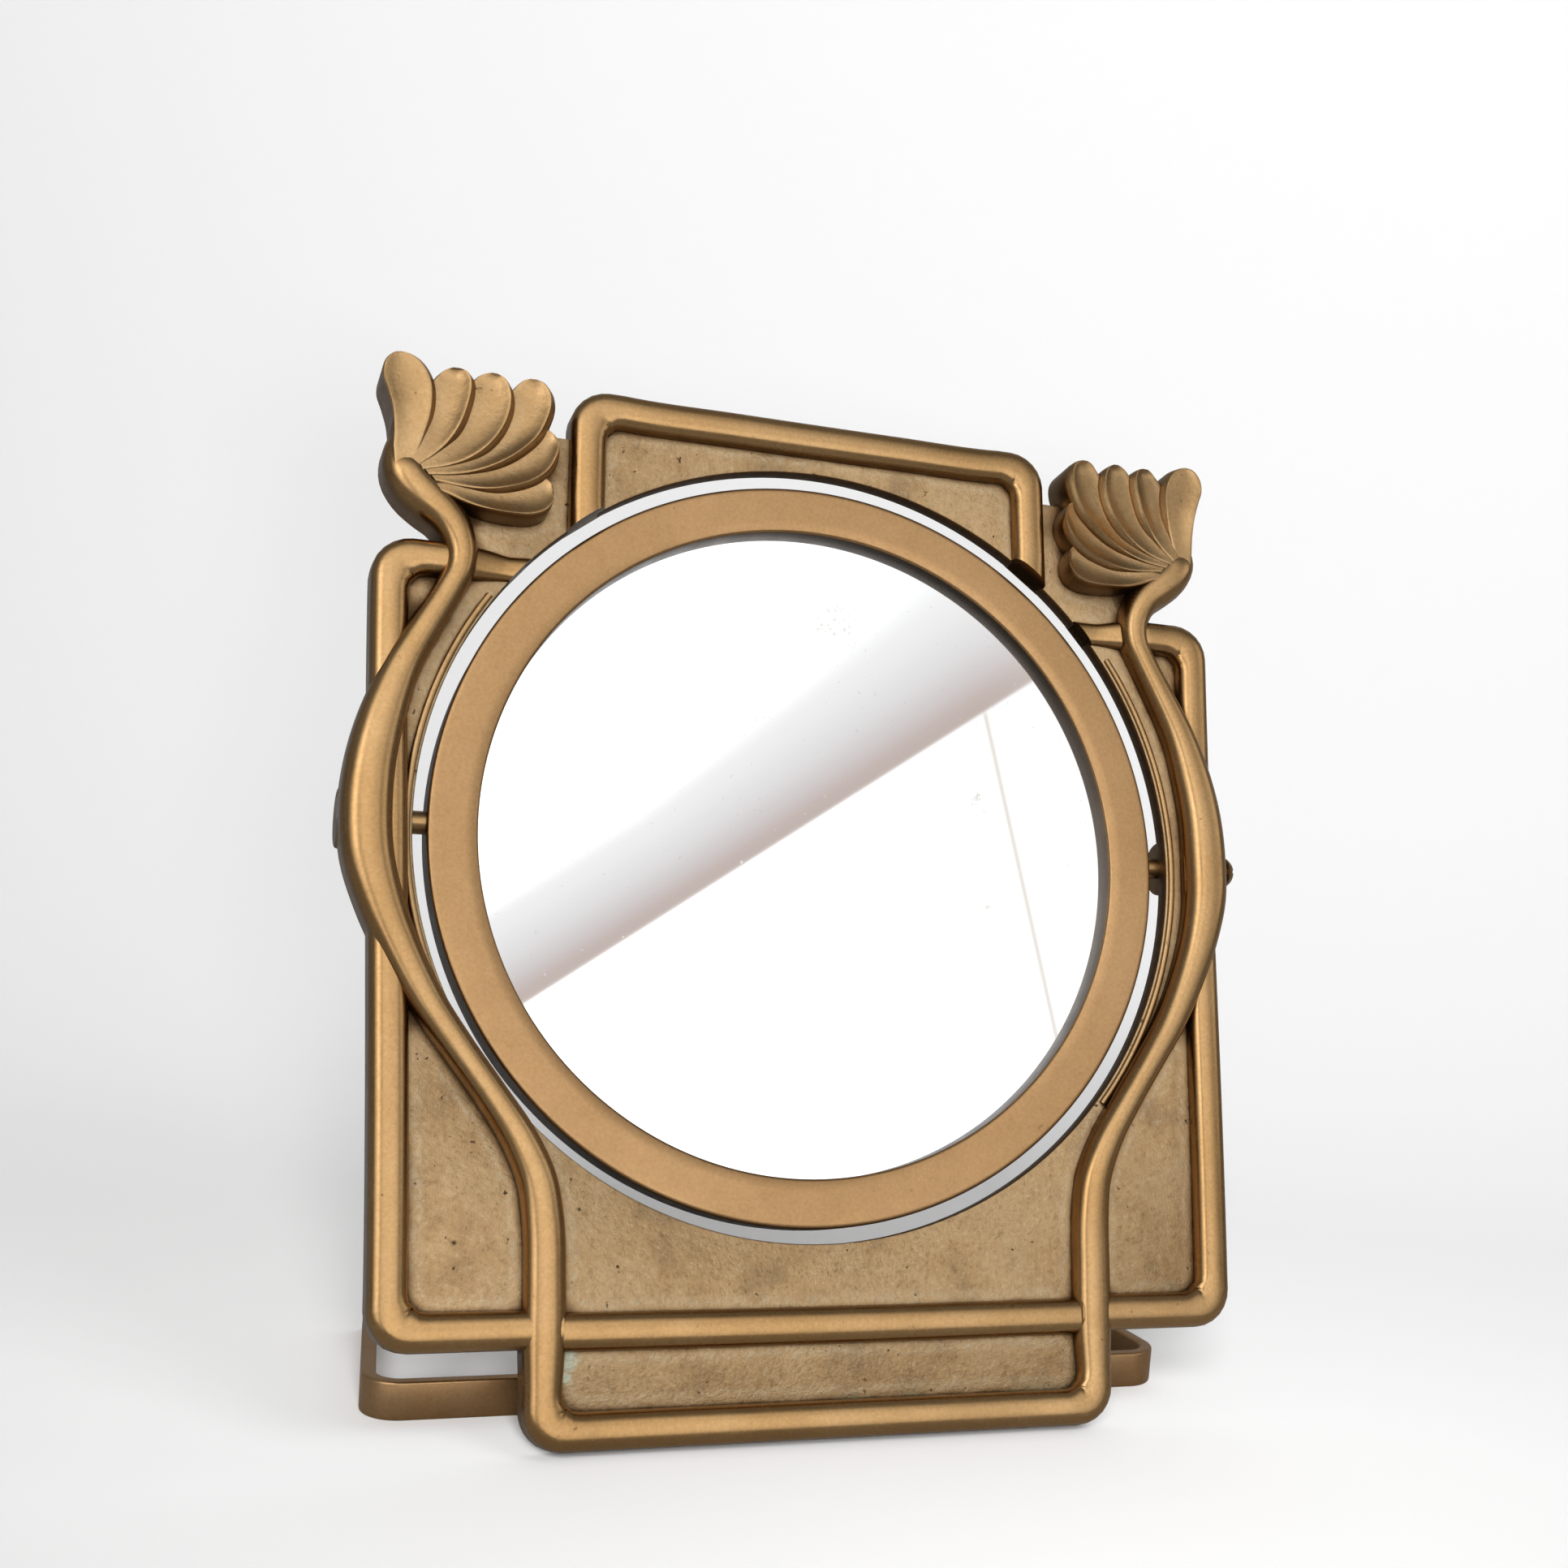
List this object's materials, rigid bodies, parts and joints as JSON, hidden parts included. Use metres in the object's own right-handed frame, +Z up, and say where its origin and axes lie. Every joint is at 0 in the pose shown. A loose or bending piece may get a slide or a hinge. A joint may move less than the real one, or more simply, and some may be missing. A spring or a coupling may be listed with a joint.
{
  "type": "table mirror",
  "caption": "Cast brass table mirror: a leaning openwork frame with flowers and stems holds a round glass that tilts on two side pivots, on a bent strap base.",
  "frame": {"origin": "on the surface it stands on, at the middle of the strap's front wall", "axes": "+Z up, +X to the right as seen from the front, the glass faces -Y and leans back"},
  "size_m": [0.2146, 0.0926, 0.2245],
  "materials": {
    "cast_brass": "cast, brushed and patinated",
    "satin_brass": "satin",
    "silvered_glass": "aged silvering",
    "card": "matt card",
    "dark_brass": "dull, tarnished",
    "screw_brass": "turned"
  },
  "bodies": {
    "frame": {"frame_casting": "cast_brass", "pivot_screw_left": "screw_brass", "pivot_screw_right": "screw_brass", "base_strap": "dark_brass", "strap_bracket_left": "dark_brass", "strap_bracket_right": "dark_brass", "bracket_screws": "screw_brass", "strap_rivets": "screw_brass"},
    "mirror": {"bezel_ring": "satin_brass", "mirror_glass": "silvered_glass", "backing_card": "card", "back_cover": "dark_brass", "cover_screws": "screw_brass"}
  },
  "joints": [
    {"name": "mirror_tilt", "type": "hinge", "parent": "frame", "child": "mirror", "pos_m": [0, 0.01621, 0.12312], "axis": [1, 0, 0], "continuous": true}
  ]
}
